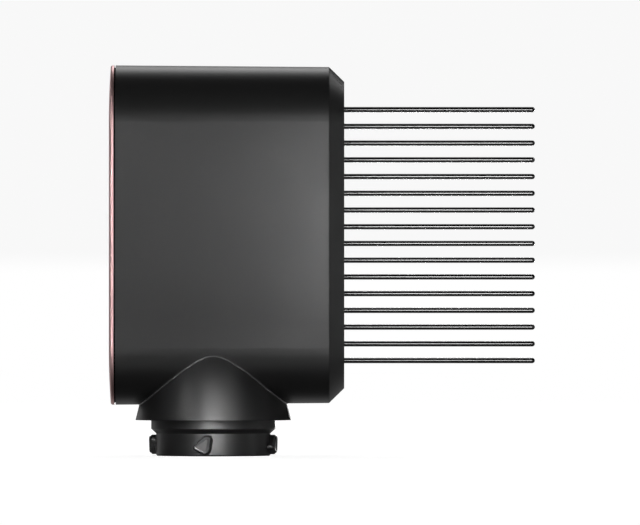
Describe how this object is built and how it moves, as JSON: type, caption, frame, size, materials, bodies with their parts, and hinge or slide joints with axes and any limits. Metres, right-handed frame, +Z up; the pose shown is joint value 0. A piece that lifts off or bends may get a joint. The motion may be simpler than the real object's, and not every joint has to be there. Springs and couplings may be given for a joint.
{
  "type": "hair styler comb attachment",
  "caption": "Oval hollow comb attachment with a round bayonet air connector below, a long air outlet in front and a row of straight round pin teeth.",
  "frame": {"origin": "on the connector's axis, in the plane of its lower end", "axes": "+X along the teeth towards their tips, +Y across the thin side, +Z up along the connector's axis, away from the styler"},
  "size_m": [0.111, 0.0406, 0.1017],
  "materials": {
    "black_shell": "satin",
    "black_bezel": "satin",
    "black_cap": "matte",
    "rose_metal": "satin",
    "black_connector": "satin",
    "black_rail": "matte",
    "grey_guide": "matte",
    "seal_rubber": "matte",
    "gloss_black_steel": "gloss"
  },
  "bodies": {
    "root": {"housing": "black_shell", "rear_cap": "black_cap", "trim_plate": "rose_metal", "front_nozzle": "black_bezel", "comb_rail": "black_rail", "air_guide": "grey_guide", "connector": "black_connector", "connector_seal": "seal_rubber", "tooth_01": "gloss_black_steel", "tooth_02": "gloss_black_steel", "tooth_03": "gloss_black_steel", "tooth_04": "gloss_black_steel", "tooth_05": "gloss_black_steel", "tooth_06": "gloss_black_steel", "tooth_07": "gloss_black_steel", "tooth_08": "gloss_black_steel", "tooth_09": "gloss_black_steel", "tooth_10": "gloss_black_steel", "tooth_11": "gloss_black_steel", "tooth_12": "gloss_black_steel", "tooth_13": "gloss_black_steel", "tooth_14": "gloss_black_steel", "tooth_15": "gloss_black_steel", "tooth_16": "gloss_black_steel"}
  },
  "joints": []
}
